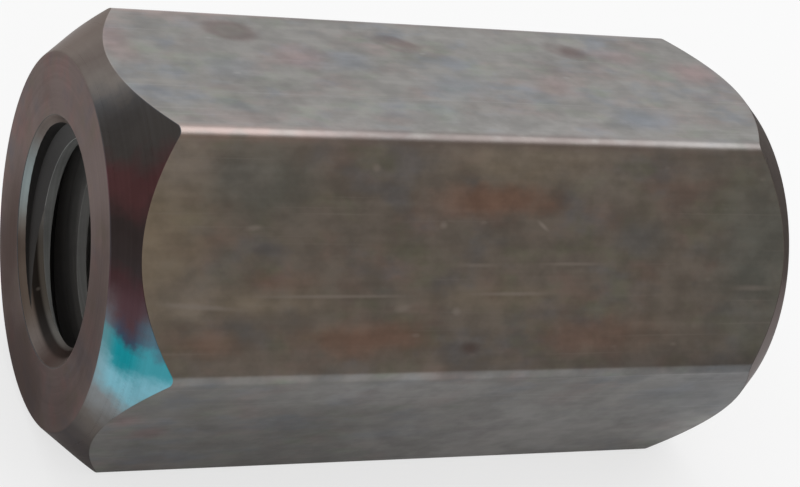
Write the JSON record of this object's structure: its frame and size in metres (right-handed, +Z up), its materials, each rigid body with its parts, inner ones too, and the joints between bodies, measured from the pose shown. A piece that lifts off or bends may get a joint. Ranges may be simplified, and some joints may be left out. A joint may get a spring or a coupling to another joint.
{
  "type": "coupling nut",
  "caption": "Long hexagonal nut, threaded right through, that joins two threaded rods or studs end to end.",
  "frame": {"origin": "on the surface that the nut lies on, under its middle", "axes": "+X along the thread's axis, +Y level across the nut, +Z up from the flat that it lies on"},
  "size_m": [0.024, 0.0148, 0.013],
  "materials": {
    "plated_steel": "zinc-plated steel, clear and faintly iridescent passivation, satin with light handling stains"
  },
  "bodies": {
    "root": {"coupling_nut": "plated_steel"}
  },
  "joints": []
}
